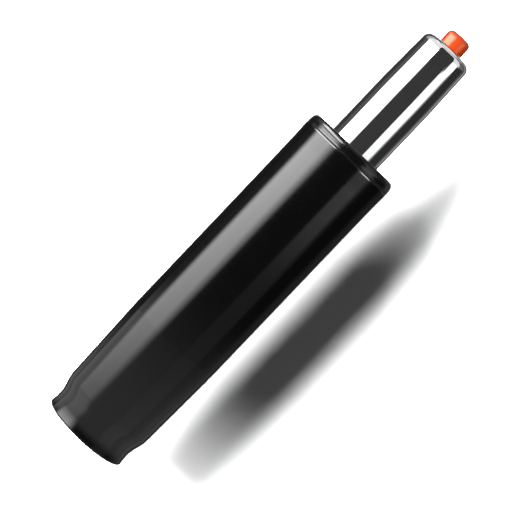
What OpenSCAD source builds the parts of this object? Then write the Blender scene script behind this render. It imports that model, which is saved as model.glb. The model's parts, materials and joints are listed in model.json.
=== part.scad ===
// Chair gas lift cylinder, lowered, standing on the rim of its foot.
// The axis runs up along +Z and the origin is the centre of the rim. Lengths are in millimetres.

/* [Column] */
// Outer diameter of the column's parallel length
column_d = 50; // [46:0.5:56]
// Wall of the column tube
column_wall = 2; // [1.5:0.1:2.5]
// Height of the column tube's mouth above its foot
column_h = 178.5; // [170:0.5:230]
// Height at which the base taper runs into the parallel length
base_taper_top = 62; // [50:1:90]
// Length of taper over which its diameter grows by one millimetre
taper_run = 19.92; // [16:0.01:26]
// Height of the foot's waist, where it is narrowest
waist_h = 6; // [4:0.5:9]
// Height of the curved neck from the waist up to the base taper
neck_h = 12; // [8:0.5:16]
// How far the neck draws the tube in at the waist, on the radius
neck_in = 2.15; // [1.2:0.05:3]
// How far the foot flares out again below the waist, on the radius
foot_flare = 0.45; // [0:0.05:0.8]
// Edge radius round the foot's rim
foot_edge_r = 1; // [0.4:0.1:1.2]
// Distance from the column's mouth down to the bottom of the crimp groove
crimp_drop = 8.2; // [6:0.1:12]
// Height of the crimp groove
crimp_h = 6; // [3:0.5:8]
// Depth of the crimp groove
crimp_depth = 0.16; // [0.1:0.02:0.5]
// How far the column's mouth flares out, on the radius
mouth_flare = 0.28; // [0:0.02:0.5]
// Edge radius of the mouth and of the bush head above it
seam_edge_r = 0.6; // [0.2:0.1:1]

/* [Guide bush] */
// Length of the guide bush inside the column
bush_len = 80; // [50:1:88]
// Height of the bush head on top of the column
bush_head_h = 5.4; // [3:0.1:7]
// Edge radius round the top of the bush head
bush_head_edge_r = 1.2; // [0.4:0.1:2]
// Wall of the bush's inner sleeve
bush_sleeve_wall = 3; // [2:0.1:4]
// Height of the solid land at the bush's lower end
bush_land_h = 8; // [4:0.5:14]
// Length of each of the two guiding faces in the bush's bore
bush_face_h = 20; // [10:1:24]
// Depth of the relief between the two guiding faces
bush_relief = 0.5; // [0.2:0.1:1]
// Number of ribs round the bush
bush_rib_count = 8; // [4:1:12]
// Thickness of each rib
bush_rib_t = 3; // [2:0.1:4]

/* [Pressure tube] */
// Outer diameter of the pressure tube
tube_d = 28; // [27:0.1:32]
// Wall of the pressure tube
tube_wall = 1.5; // [1.2:0.1:1.8]
// Height of the tube's rolled top above the bush head, lowered
tube_exposed_h = 63.3; // [58:0.1:90]
// Length of the seat taper at the tube's top
seat_taper_h = 30; // [20:0.5:50]
// Outer radius of the tube's rolled ends
tube_roll_r = 2.6; // [2:0.1:3]
// Radial gap between the inner tube and the pressure tube
gas_gap = 1.7; // [1:0.1:2]
// Wall of the inner tube
inner_wall = 0.8; // [0.6:0.1:1]
// Width of the rolled lip at the tube's lower end
lower_lip_w = 4.5; // [3:0.1:5.5]

/* [Stroke] */
// Rise of the lift from lowered to raised
stroke = 100; // [50:1:108]
// Gap that is left between piston and rod guide when raised
raised_gap = 1; // [0.5:0.1:3]
// Gap that is left above the buffer washer when lowered
lowered_gap = 0.3; // [0.2:0.1:1]

/* [Thrust bearing] */
// Thickness of the base plate in the foot
base_plate_t = 3.5; // [2.5:0.1:5]
// Depth of the recess that centres the lower race
race_recess = 0.8; // [0.4:0.1:1.4]
// Outer diameter of the races
race_d = 24.4; // [23:0.1:28]
// Thickness of each race
race_t = 2; // [1.6:0.1:3]
// Diameter of the bearing balls
ball_d = 4; // [3.4:0.1:4.4]
// Number of bearing balls
ball_count = 10; // [6:1:11]
// Diameter of the circle on which the balls run
ball_circle_d = 18; // [17.4:0.1:19]
// Depth of the ball grooves
ball_groove_depth = 0.8; // [0.4:0.1:1]
// Thickness of the ball cage
cage_t = 1.6; // [1:0.1:1.8]
// Width of the ball cage, inside to outside
cage_w = 6.4; // [5.6:0.1:7]

/* [Rod] */
// Diameter of the piston rod
rod_d = 10; // [9:0.1:11]
// Diameter of the journal below the rod's shoulder
journal_d = 8; // [7:0.1:8.6]
// Length of the journal below the base plate
journal_tail = 6; // [5:0.1:8]
// Diameter of the tenon that carries the piston
tenon_d = 6; // [5:0.1:7]
// Chamfer at the rod's two ends
rod_chamfer = 0.6; // [0.2:0.1:1]
// Outer diameter of the rubber buffer
buffer_d = 21; // [18:0.5:22]
// Height of the rubber buffer
buffer_h = 10; // [6:0.5:16]
// Edge radius of the rubber buffer
buffer_edge_r = 2; // [0.5:0.1:2.5]
// Outer diameter of the buffer washer
buffer_washer_d = 23; // [20:0.5:24]
// Thickness of the buffer washer
buffer_washer_t = 1.5; // [1:0.1:2]
// Outer diameter of the clip washer
clip_washer_d = 18; // [16:0.5:22]
// Thickness of the clip washer
clip_washer_t = 1; // [0.8:0.1:1.4]
// Outer diameter of the retaining clip
clip_d = 15; // [13:0.1:16]
// Thickness of the retaining clip
clip_t = 1.2; // [0.8:0.1:1.6]
// Depth of the clip's groove in the journal
clip_groove_depth = 0.8; // [0.5:0.1:1.2]
// Width of the clip's three prongs
clip_prong_w = 2.4; // [1.6:0.1:2.8]

/* [Piston] */
// Height of the piston
piston_h = 14; // [10:0.5:16]
// Height of the piston seal
piston_seal_h = 3; // [2:0.1:4]
// Depth of the piston seal's groove
piston_seal_depth = 1.8; // [1.2:0.1:2.2]
// Outer diameter of the piston washer
piston_washer_d = 14; // [12:0.5:16]
// Thickness of the piston washer
piston_washer_t = 1.2; // [0.8:0.1:1.6]
// Width of the piston nut across its flats
nut_flats = 10; // [9:0.5:12]
// Height of the piston nut
nut_h = 4; // [3:0.1:5]
// Length of tenon that stands above the nut
tenon_over = 1; // [0.7:0.1:2]

/* [Lower seals] */
// Thickness of the seal washer on the lower lip
seal_washer_t = 2; // [1.2:0.1:3]
// Height of the rod seal
rod_seal_h = 7; // [5:0.5:9]
// Depth of the lip groove in the rod seal
rod_seal_groove_depth = 3; // [2:0.1:4]
// Width of the lip groove in the rod seal
rod_seal_groove_w = 3; // [1.5:0.1:4]
// Height of the rod guide's flange
guide_flange_h = 7; // [5:0.5:9]
// Height of the rod guide's spigot in the inner tube
guide_spigot_h = 6; // [4:0.5:8]
// Wall of the rod guide's core, inside the gas slots
guide_core_wall = 2.4; // [1.5:0.1:3]
// Number of gas slots in the rod guide
guide_slot_count = 4; // [2:1:6]
// Width of each gas slot
guide_slot_w = 2.5; // [1.5:0.1:3]
// Depth of the gas slots in the guide's flange
guide_slot_depth = 1.5; // [1:0.1:3]

/* [Valve] */
// Height of the valve body's flange
valve_flange_h = 10; // [8:0.5:12]
// Height of the valve body's ported shoulder
valve_shoulder_h = 4; // [3:0.1:6]
// Height of the valve body's spigot in the inner tube
valve_spigot_h = 8; // [6:0.5:10]
// Number of gas ports in the shoulder
port_count = 4; // [2:1:6]
// Diameter of each gas port
port_d = 2; // [1:0.1:2.4]
// Thickness of the gland washer
gland_washer_t = 1; // [0.6:0.1:2]
// Cord diameter of the ring round the valve body
body_ring_d = 2.2; // [1.6:0.1:2.8]
// Cord diameter of the ring in the inner tube
inner_ring_d = 1.8; // [1.4:0.1:2.4]
// Cord diameter of the rings round the pin
pin_ring_d = 1.8; // [1.4:0.1:2]
// Diameter of the valve pin
pin_d = 4; // [3.4:0.1:5]
// Depth of the pin's waist, on the radius
pin_waist_depth = 0.6; // [0.3:0.1:1]
// Height of the pin's head
pin_head_h = 2.5; // [1.5:0.1:4]
// How far the pin's head overlaps its seal, on the radius
pin_head_over = 0.2; // [0.1:0.05:0.5]

/* [Release button] */
// Diameter of the button
button_d = 12.6; // [11:0.1:14]
// Height of the button above the tube's rolled top
button_h = 7.8; // [6:0.1:14]
// Edge radius round the button's top
button_edge_r = 2.4; // [1:0.1:4]
// How far the button can be pressed
button_press = 4.5; // [2:0.1:6]
// Height of the collar that keeps the button in
collar_h = 2.2; // [1.5:0.1:3]
// How far the collar reaches under the rolled lip, on the radius
collar_over = 1.3; // [0.8:0.1:1.8]
// Thickness of the button's top above the pin
button_cap_t = 4.5; // [3:0.1:6]
// Height of the button guide under the rolled top
button_guide_h = 26; // [18:0.5:30]

/* [Clearances] */
// Radial clearance of faces that slide or turn on each other
slide_clear = 0.06; // [0.02:0.01:0.1]
// Radial clearance of faces that are fitted together
fit_clear = 0.03; // [0.01:0.01:0.06]
// Gap between pieces that pass without touching
free_gap = 0.3; // [0.2:0.05:0.5]
// Gap between the button and the rolled lip round it
lip_gap = 0.5; // [0.3:0.05:1]

/* [Hidden] */
$fn = 96;
// Steps in a rounded edge and in a soft curve
edge_steps = 6;
curve_steps = 10;
// How far a cutting shape runs past the face that it cuts, and a rib into what carries it
cut_over = 1;

// Column
column_r = column_d / 2;
column_bore_r = column_r - column_wall;
neck_top = waist_h + neck_h;
taper_low_r = column_r - (base_taper_top - neck_top) / (2 * taper_run);
waist_r = taper_low_r - neck_in;
foot_r = waist_r + foot_flare;
foot_bore_r = waist_r - column_wall;
crimp_z = column_h - crimp_drop;
mouth_r = column_r + mouth_flare;

// Base plate and thrust bearing, from the seat in the neck upwards
plate_z = waist_h + neck_h / 2;
plate_r = waist_r + neck_in / 2 - column_wall;
plate_top = plate_z + base_plate_t;
race_r = race_d / 2;
lower_race_z = plate_top - race_recess;
lower_race_top = lower_race_z + race_t;
ball_r = ball_d / 2;
ball_circle_r = ball_circle_d / 2;
ball_z = lower_race_top + ball_r - ball_groove_depth;
upper_race_z = ball_z + ball_r - ball_groove_depth;
upper_race_top = upper_race_z + race_t;

// Rod, buffer and clip
rod_r = rod_d / 2;
journal_r = journal_d / 2;
tenon_r = tenon_d / 2;
rod_end_z = plate_z - journal_tail;
clip_washer_top = plate_z - free_gap;
clip_top = clip_washer_top - clip_washer_t;
clip_z = clip_top - clip_t;
clip_groove_r = journal_r - clip_groove_depth;
buffer_top = upper_race_top + buffer_h;
buffer_washer_top = buffer_top + buffer_washer_t;

// Pressure tube and the stack on its lower lip
tube_r = tube_d / 2;
tube_bore_r = tube_r - tube_wall;
tube_z = buffer_washer_top + lowered_gap;
tube_top = column_h + bush_head_h + tube_exposed_h;
seat_taper_z = tube_top - seat_taper_h;
roll_bore_r = tube_roll_r - tube_wall;
inner_tube_r = tube_bore_r - gas_gap;
inner_bore_r = inner_tube_r - inner_wall;
seal_washer_z = tube_z + tube_wall;
rod_seal_z = seal_washer_z + seal_washer_t;
rod_guide_z = rod_seal_z + rod_seal_h;
inner_tube_z = rod_guide_z + guide_flange_h;
rod_guide_top = inner_tube_z + guide_spigot_h;

// Piston, carried by the rod one stroke above the guide
piston_z = rod_guide_top + stroke + raised_gap;
piston_top = piston_z + piston_h;
piston_seal_z = piston_z + (piston_h - piston_seal_h) / 2;
piston_seal_r = inner_bore_r - piston_seal_depth;
nut_z = piston_top + piston_washer_t;
rod_top = nut_z + nut_h + tenon_over;

// Button and valve, from the rolled top downwards
button_r = button_d / 2;
button_top = tube_top + button_h;
lip_z = tube_top - tube_wall;
top_mouth_r = button_r + lip_gap;
collar_r = top_mouth_r + collar_over;
collar_top = lip_z - free_gap;
collar_z = collar_top - collar_h;
button_guide_z = lip_z - button_guide_h;
button_well_z = collar_z - button_press - free_gap;
pin_r = pin_d / 2;
pin_top = button_top - button_cap_t;
gland_washer_z = button_guide_z - gland_washer_t;
valve_shoulder_z = gland_washer_z - valve_flange_h;
inner_tube_top = valve_shoulder_z - valve_shoulder_h;
valve_z = inner_tube_top - valve_spigot_h;
body_ring_z = valve_shoulder_z + valve_flange_h / 2;
inner_ring_z = valve_z + valve_spigot_h / 2;
pin_ring_r = pin_r + slide_clear + pin_ring_d / 2;
pin_gland_r = pin_ring_r + pin_ring_d / 2 + fit_clear;
pin_head_r = pin_gland_r + pin_head_over;
pin_head_top = valve_z - slide_clear;
port_z = inner_tube_top + valve_shoulder_h / 2;

// Soft step from 0 to 1
function ease(u) = (1 - cos(180 * u)) / 2;

// Points of an arc about [x, z] from one angle to another
function arc(x, z, r, from, to) = [
  for (i = [0:edge_steps])
    let (a = from + (to - from) * i / edge_steps)
    [x + r * cos(a), z + r * sin(a)]
];

// Points of a soft curve from [r0, z0] to [r1, z1], upright at both ends
function soft_curve(r0, z0, r1, z1) = [
  for (i = [0:curve_steps])
    let (u = i / curve_steps)
    [r0 + (r1 - r0) * ease(u), z0 + (z1 - z0) * u]
];

// The same points without the first one
function after_first(points) = [for (i = [1:len(points) - 1]) points[i]];

// Points of the crimp groove on a wall of radius r, up to a wall of radius r1 at height z1
function crimp_curve(r, r1, z1) = concat(
  soft_curve(r, crimp_z - crimp_h / 2, r - crimp_depth, crimp_z),
  after_first(soft_curve(r - crimp_depth, crimp_z, r1, z1))
);

// The same points from the last to the first
function backwards(points) = [for (i = [len(points) - 1:-1:0]) points[i]];

// Radius of the pressure tube's outside at height z
function tube_r_at(z) = tube_r - max(0, z - seat_taper_z) / (2 * taper_run);

// Radius that a piece under the seat taper may have if its top is at height z
function plug_r_at(z) = tube_r_at(z) - tube_wall - fit_clear;

// Radius to the cord's middle in the ring round the valve body
function body_seal_r() = plug_r_at(body_ring_z + body_ring_d / 2) - body_ring_d / 2;

// Solid of revolution from a profile of [radius, height] points
module lathe(points) {
  rotate_extrude() polygon(points);
}

// Plain ring between two radii
module ring(inner_r, outer_r, z, h) {
  lathe([[inner_r, z], [outer_r, z], [outer_r, z + h], [inner_r, z + h]]);
}

// Rubber ring of round cord
module cord_ring(r, cord_d, z) {
  rotate_extrude() translate([r, z]) circle(d = cord_d);
}

// Race blank with its ball groove
module race(inner_r, z) {
  rotate_extrude() difference() {
    translate([inner_r, z]) square([race_r - inner_r, race_t]);
    translate([ball_circle_r, ball_z]) circle(r = ball_r + slide_clear);
  }
}

// Column group
module column_tube() {
  outside = concat(
    arc(foot_r - foot_edge_r, foot_edge_r, foot_edge_r, -90, 0),
    [for (i = [1:edge_steps - 1])
      let (u = 1 - i / edge_steps)
      [waist_r + foot_flare * u * u, waist_h - (waist_h - foot_edge_r) * u]],
    soft_curve(waist_r, waist_h, taper_low_r, neck_top),
    [[column_r, base_taper_top]],
    crimp_curve(column_r, mouth_r, column_h - 2 * seam_edge_r),
    arc(mouth_r - seam_edge_r, column_h - seam_edge_r, seam_edge_r, 0, 90)
  );
  inside = concat(
    [[column_bore_r, column_h]],
    backwards(crimp_curve(column_bore_r, column_bore_r, crimp_z + crimp_h / 2)),
    [
      [column_bore_r, base_taper_top],
      [taper_low_r - column_wall, neck_top],
      [plate_r, plate_z],
      [foot_bore_r, plate_z],
      [foot_bore_r, 0]
    ]
  );
  color([0.06, 0.06, 0.065]) lathe(concat(outside, inside));
}

module guide_bush() {
  bore_r = tube_r + slide_clear;
  sleeve_r = bore_r + bush_sleeve_wall;
  skin_r = column_bore_r - fit_clear;
  bush_z = column_h - bush_len;
  head_top = column_h + bush_head_h;
  land_z = crimp_z - crimp_h;
  rib_z = bush_z + bush_land_h - cut_over;
  rib_h = land_z - rib_z + cut_over;
  outside = concat(
    [
      [bore_r, bush_z],
      [skin_r, bush_z],
      [skin_r, bush_z + bush_land_h],
      [sleeve_r, bush_z + bush_land_h],
      [sleeve_r, land_z],
      [skin_r, land_z]
    ],
    crimp_curve(skin_r, skin_r, crimp_z + crimp_h / 2),
    [[skin_r, column_h]],
    arc(mouth_r - seam_edge_r, column_h + seam_edge_r, seam_edge_r, -90, 0),
    arc(mouth_r - bush_head_edge_r, head_top - bush_head_edge_r, bush_head_edge_r, 0, 90)
  );
  inside = [
    [bore_r + seam_edge_r, head_top],
    [bore_r, head_top - seam_edge_r],
    [bore_r, head_top - bush_face_h],
    [bore_r + bush_relief, head_top - bush_face_h - bush_relief],
    [bore_r + bush_relief, bush_z + bush_face_h + bush_relief],
    [bore_r, bush_z + bush_face_h]
  ];
  color([0.09, 0.09, 0.095]) {
    union() {
      lathe(concat(outside, inside));
      intersection() {
        ring(sleeve_r - cut_over, skin_r, rib_z, rib_h);
        for (i = [0:bush_rib_count - 1])
          rotate(i * 360 / bush_rib_count)
            translate([0, -bush_rib_t / 2, rib_z])
              cube([column_r, bush_rib_t, rib_h]);
      }
    }
  }
}

module base_plate() {
  hole_r = journal_r + free_gap;
  edge_r = plate_r - fit_clear;
  color([0.55, 0.55, 0.53]) lathe([
    [hole_r, plate_z],
    [edge_r, plate_z],
    [edge_r, plate_top],
    [race_r + fit_clear, plate_top],
    [race_r + fit_clear, lower_race_z],
    [hole_r, lower_race_z]
  ]);
}

module bearing_race_lower() {
  color([0.68, 0.68, 0.7]) race(journal_r + 2 * free_gap, lower_race_z);
}

// Bearing group
module ball_cage() {
  color([0.72, 0.55, 0.25]) difference() {
    ring(ball_circle_r - cage_w / 2, ball_circle_r + cage_w / 2, ball_z - cage_t / 2, cage_t);
    for (i = [0:ball_count - 1])
      rotate(i * 360 / ball_count)
        translate([ball_circle_r, 0, ball_z - cage_t])
          cylinder(r = ball_r + slide_clear, h = 2 * cage_t);
  }
}

module bearing_balls() {
  color([0.78, 0.78, 0.8])
    for (i = [0:ball_count - 1])
      rotate(i * 360 / ball_count)
        translate([ball_circle_r, 0, ball_z])
          sphere(r = ball_r);
}

// Rod group
module piston_rod() {
  color([0.7, 0.7, 0.72]) lathe([
    [0, rod_end_z],
    [journal_r - rod_chamfer, rod_end_z],
    [journal_r, rod_end_z + rod_chamfer],
    [journal_r, clip_z - fit_clear],
    [clip_groove_r, clip_z - fit_clear],
    [clip_groove_r, clip_top + fit_clear],
    [journal_r, clip_top + fit_clear],
    [journal_r, upper_race_top],
    [rod_r, upper_race_top],
    [rod_r, piston_z],
    [tenon_r, piston_z],
    [tenon_r, rod_top - rod_chamfer],
    [tenon_r - rod_chamfer, rod_top],
    [0, rod_top]
  ]);
}

module bearing_race_upper() {
  color([0.68, 0.68, 0.7]) race(journal_r + fit_clear, upper_race_z);
}

module rubber_buffer() {
  bore_r = rod_r + fit_clear;
  skin_r = buffer_d / 2;
  color([0.05, 0.05, 0.05]) lathe(concat(
    [[bore_r, upper_race_top]],
    arc(skin_r - buffer_edge_r, upper_race_top + buffer_edge_r, buffer_edge_r, -90, 0),
    arc(skin_r - buffer_edge_r, buffer_top - buffer_edge_r, buffer_edge_r, 0, 90),
    [[bore_r, buffer_top]]
  ));
}

module buffer_washer() {
  color([0.62, 0.62, 0.6]) ring(rod_r + fit_clear, buffer_washer_d / 2, buffer_top, buffer_washer_t);
}

module clip_washer() {
  color([0.62, 0.62, 0.6]) ring(journal_r + fit_clear, clip_washer_d / 2, clip_top, clip_washer_t);
}

module retaining_clip() {
  tip_r = clip_groove_r + fit_clear;
  band_r = (clip_d / 2 + journal_r) / 2;
  mouth_w = 2 * clip_groove_r;
  color([0.3, 0.3, 0.32]) translate([0, 0, clip_z]) linear_extrude(clip_t) {
    difference() {
      circle(d = clip_d);
      circle(r = band_r);
      translate([-mouth_w / 2, -clip_d]) square([mouth_w, clip_d]);
    }
    for (a = [90, 210, 330])
      rotate(a)
        translate([tip_r, -clip_prong_w / 2])
          square([(band_r + clip_d / 2) / 2 - tip_r, clip_prong_w]);
  }
}

module piston() {
  skin_r = inner_bore_r - slide_clear;
  bore_r = tenon_r + fit_clear;
  color([0.75, 0.76, 0.78]) lathe([
    [bore_r, piston_z],
    [skin_r, piston_z],
    [skin_r, piston_seal_z],
    [piston_seal_r, piston_seal_z],
    [piston_seal_r, piston_seal_z + piston_seal_h],
    [skin_r, piston_seal_z + piston_seal_h],
    [skin_r, piston_top],
    [bore_r, piston_top]
  ]);
}

module piston_seal() {
  color([0.08, 0.08, 0.08]) ring(
    piston_seal_r + fit_clear, inner_bore_r - fit_clear,
    piston_seal_z + fit_clear, piston_seal_h - 2 * fit_clear
  );
}

module piston_washer() {
  color([0.62, 0.62, 0.6]) ring(tenon_r + fit_clear, piston_washer_d / 2, piston_top, piston_washer_t);
}

module piston_nut() {
  color([0.62, 0.62, 0.6]) translate([0, 0, nut_z]) difference() {
    cylinder(d = nut_flats / cos(30), h = nut_h, $fn = 6);
    translate([0, 0, -cut_over]) cylinder(r = tenon_r + fit_clear, h = nut_h + 2 * cut_over);
  }
}

// Lift group
module pressure_tube() {
  lower_mouth_r = tube_bore_r - lower_lip_w;
  shoulder_r = tube_r_at(tube_top - tube_roll_r);
  color([0.86, 0.87, 0.88]) lathe(concat(
    [[lower_mouth_r, tube_z]],
    arc(tube_r - tube_roll_r, tube_z + tube_roll_r, tube_roll_r, -90, 0),
    [[tube_r, seat_taper_z]],
    arc(shoulder_r - tube_roll_r, tube_top - tube_roll_r, tube_roll_r, 0, 90),
    [[top_mouth_r, tube_top], [top_mouth_r, lip_z]],
    arc(shoulder_r - tube_roll_r, tube_top - tube_roll_r, roll_bore_r, 90, 0),
    [[tube_bore_r, seat_taper_z]],
    arc(tube_r - tube_roll_r, tube_z + tube_roll_r, roll_bore_r, 0, -90),
    [[lower_mouth_r, seal_washer_z]]
  ));
}

module inner_tube() {
  color([0.7, 0.71, 0.73]) ring(inner_bore_r, inner_tube_r, inner_tube_z, inner_tube_top - inner_tube_z);
}

module seal_washer() {
  skin_r = tube_bore_r - fit_clear;
  bore_r = rod_r + slide_clear;
  color([0.62, 0.62, 0.6]) lathe([
    [bore_r, seal_washer_z],
    [skin_r - roll_bore_r, seal_washer_z],
    [skin_r, seal_washer_z + roll_bore_r],
    [skin_r, rod_seal_z],
    [bore_r, rod_seal_z]
  ]);
}

module rod_seal() {
  skin_r = tube_bore_r - fit_clear;
  bore_r = rod_r + slide_clear;
  mid_r = (skin_r + bore_r) / 2;
  color([0.07, 0.07, 0.07]) lathe([
    [bore_r, rod_seal_z],
    [skin_r, rod_seal_z],
    [skin_r, rod_guide_z],
    [mid_r + rod_seal_groove_w / 2, rod_guide_z],
    [mid_r, rod_guide_z - rod_seal_groove_depth],
    [mid_r - rod_seal_groove_w / 2, rod_guide_z],
    [bore_r, rod_guide_z]
  ]);
}

module rod_guide() {
  skin_r = tube_bore_r - fit_clear;
  bore_r = rod_r + slide_clear;
  spigot_r = inner_bore_r - fit_clear;
  core_r = bore_r + guide_core_wall;
  color([0.82, 0.8, 0.74]) difference() {
    lathe([
      [bore_r, rod_guide_z],
      [skin_r, rod_guide_z],
      [skin_r, inner_tube_z],
      [spigot_r, inner_tube_z],
      [spigot_r, rod_guide_top],
      [bore_r, rod_guide_top]
    ]);
    for (i = [0:guide_slot_count - 1])
      rotate(i * 360 / guide_slot_count)
        translate([core_r, -guide_slot_w / 2, inner_tube_z - guide_slot_depth])
          cube([tube_bore_r, guide_slot_w, guide_slot_depth + guide_spigot_h + cut_over]);
  }
}

module valve_body() {
  skin_r = plug_r_at(gland_washer_z);
  spigot_r = inner_bore_r - fit_clear;
  bore_r = pin_r + slide_clear;
  body_groove_r = body_seal_r() - body_ring_d / 2 - fit_clear;
  body_groove_h = body_ring_d + 2 * fit_clear;
  inner_groove_r = spigot_r - inner_ring_d - fit_clear;
  inner_groove_h = inner_ring_d + 2 * fit_clear;
  color([0.8, 0.65, 0.3]) difference() {
    lathe([
      [bore_r, valve_z + pin_ring_d],
      [pin_gland_r, valve_z + pin_ring_d],
      [pin_gland_r, valve_z],
      [spigot_r, valve_z],
      [spigot_r, inner_ring_z - inner_groove_h / 2],
      [inner_groove_r, inner_ring_z - inner_groove_h / 2],
      [inner_groove_r, inner_ring_z + inner_groove_h / 2],
      [spigot_r, inner_ring_z + inner_groove_h / 2],
      [spigot_r, inner_tube_top],
      [inner_tube_r, inner_tube_top],
      [inner_tube_r, valve_shoulder_z],
      [skin_r, valve_shoulder_z],
      [skin_r, body_ring_z - body_groove_h / 2],
      [body_groove_r, body_ring_z - body_groove_h / 2],
      [body_groove_r, body_ring_z + body_groove_h / 2],
      [skin_r, body_ring_z + body_groove_h / 2],
      [skin_r, gland_washer_z],
      [bore_r, gland_washer_z]
    ]);
    for (i = [0:port_count - 1])
      rotate(i * 360 / port_count)
        translate([0, 0, port_z])
          rotate([0, 90, 0])
            cylinder(d = port_d, h = tube_r, $fn = 24);
  }
}

module valve_body_seal() {
  color([0.08, 0.08, 0.08]) cord_ring(body_seal_r(), body_ring_d, body_ring_z);
}

module inner_tube_seal() {
  ring_r = inner_bore_r - fit_clear - inner_ring_d / 2;
  color([0.08, 0.08, 0.08]) cord_ring(ring_r, inner_ring_d, inner_ring_z);
}

module valve_seat_seal() {
  color([0.08, 0.08, 0.08]) cord_ring(pin_ring_r, pin_ring_d, valve_z + pin_ring_d / 2);
}

module pin_seal() {
  color([0.08, 0.08, 0.08]) cord_ring(pin_ring_r, pin_ring_d, button_guide_z + pin_ring_d / 2);
}

module gland_washer() {
  color([0.62, 0.62, 0.6])
    ring(pin_r + slide_clear, plug_r_at(button_guide_z), gland_washer_z, gland_washer_t);
}

module button_guide() {
  chamfer = roll_bore_r + fit_clear;
  top_r = plug_r_at(lip_z);
  well_r = collar_r + lip_gap / 2;
  bore_r = pin_r + slide_clear;
  color([0.1, 0.1, 0.1]) lathe([
    [bore_r, button_guide_z + pin_ring_d],
    [pin_gland_r, button_guide_z + pin_ring_d],
    [pin_gland_r, button_guide_z],
    [plug_r_at(button_guide_z), button_guide_z],
    [top_r, lip_z - chamfer],
    [top_r - chamfer, lip_z],
    [well_r, lip_z],
    [well_r, button_well_z],
    [bore_r, button_well_z]
  ]);
}

// Release group
module release_button() {
  socket_r = pin_r + fit_clear;
  color([0.95, 0.3, 0.09]) lathe(concat(
    [
      [socket_r, collar_z],
      [collar_r, collar_z],
      [collar_r, collar_top],
      [button_r, collar_top]
    ],
    arc(button_r - button_edge_r, button_top - button_edge_r, button_edge_r, 0, 90),
    [[0, button_top], [0, pin_top], [socket_r, pin_top]]
  ));
}

module valve_pin() {
  waist_r = pin_r - pin_waist_depth;
  waist_z = valve_z + pin_ring_d;
  waist_top = port_z + port_d / 2;
  color([0.74, 0.74, 0.76]) lathe([
    [0, pin_head_top - pin_head_h],
    [pin_head_r, pin_head_top - pin_head_h],
    [pin_head_r, pin_head_top],
    [pin_r, pin_head_top],
    [pin_r, waist_z],
    [waist_r, waist_z + pin_waist_depth],
    [waist_r, waist_top - pin_waist_depth],
    [pin_r, waist_top],
    [pin_r, pin_top],
    [0, pin_top]
  ]);
}

column_tube();
guide_bush();
base_plate();
bearing_race_lower();
ball_cage();
bearing_balls();
piston_rod();
bearing_race_upper();
rubber_buffer();
buffer_washer();
clip_washer();
retaining_clip();
piston();
piston_seal();
piston_washer();
piston_nut();
pressure_tube();
inner_tube();
seal_washer();
rod_seal();
rod_guide();
valve_body();
valve_body_seal();
inner_tube_seal();
valve_seat_seal();
pin_seal();
gland_washer();
button_guide();
release_button();
valve_pin();
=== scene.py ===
"""Looks of a chair gas lift cylinder, built round its packed solids.

All lengths are in metres in the frame of the solids, only the defaults of the settings are written in
millimetres. The axis runs up along +Z, the origin is the centre of the foot's rim, and the camera looks
along +Y.
"""

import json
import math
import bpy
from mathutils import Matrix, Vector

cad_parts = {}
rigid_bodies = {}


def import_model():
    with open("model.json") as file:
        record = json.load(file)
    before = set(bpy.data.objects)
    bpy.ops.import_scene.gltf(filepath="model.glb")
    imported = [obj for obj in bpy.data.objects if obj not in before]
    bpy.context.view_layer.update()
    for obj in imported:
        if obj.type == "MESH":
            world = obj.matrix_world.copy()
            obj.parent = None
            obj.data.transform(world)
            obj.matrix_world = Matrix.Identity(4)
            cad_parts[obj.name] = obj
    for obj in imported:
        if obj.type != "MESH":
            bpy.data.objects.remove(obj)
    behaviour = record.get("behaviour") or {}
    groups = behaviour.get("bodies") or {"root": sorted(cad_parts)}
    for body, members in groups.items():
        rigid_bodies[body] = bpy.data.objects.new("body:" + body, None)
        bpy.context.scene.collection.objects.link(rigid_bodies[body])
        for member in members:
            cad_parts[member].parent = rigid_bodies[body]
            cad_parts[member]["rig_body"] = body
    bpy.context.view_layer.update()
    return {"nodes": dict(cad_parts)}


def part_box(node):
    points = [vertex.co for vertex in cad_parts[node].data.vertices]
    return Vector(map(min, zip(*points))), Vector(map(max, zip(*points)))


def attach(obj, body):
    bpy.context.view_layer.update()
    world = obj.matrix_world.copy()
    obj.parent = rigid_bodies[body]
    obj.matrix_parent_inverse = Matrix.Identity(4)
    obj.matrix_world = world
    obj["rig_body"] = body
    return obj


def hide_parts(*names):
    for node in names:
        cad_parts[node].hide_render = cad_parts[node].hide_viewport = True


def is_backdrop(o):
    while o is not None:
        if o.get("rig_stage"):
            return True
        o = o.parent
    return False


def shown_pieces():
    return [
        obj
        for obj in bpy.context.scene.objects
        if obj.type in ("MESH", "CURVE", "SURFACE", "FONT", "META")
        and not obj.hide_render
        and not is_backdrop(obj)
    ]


bl_info = {
    "name": "Chair gas lift cylinder",
    "version": (1, 0, 0),
    "blender": (4, 5, 0),
    "location": "3D View > Sidebar > Gas lift",
    "description": "Builds a chair gas lift cylinder with its finishes and a plain studio",
    "category": "Object",
}

import bmesh
import bpy
from bpy.props import FloatProperty, FloatVectorProperty, IntProperty, PointerProperty
from mathutils import Matrix, Vector

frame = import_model()

MM = 0.001

# Fineness of the meshes
SEGMENTS = 192
EDGE_STEPS = 8
SOFT_STEPS = 24
FLARE_STEPS = 48
CLIP_STEPS = 12
CLIP_EDGE_STEPS = 3
RIB_STEPS = 6
CARD_STEP = 3
RING_STEPS = 48
SHARP_ANGLE = math.radians(32)
AXIS_REACH = 1e-7
MERGE_REACH = 1e-7

# Points that hold a form: their distance from a bend, and their share of an edge's reach
HOLD = 0.35 * MM
HOLD_SHARE = 1.2

# How late the column's mouth flares
FLARE_POWER = 2.5

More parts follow.
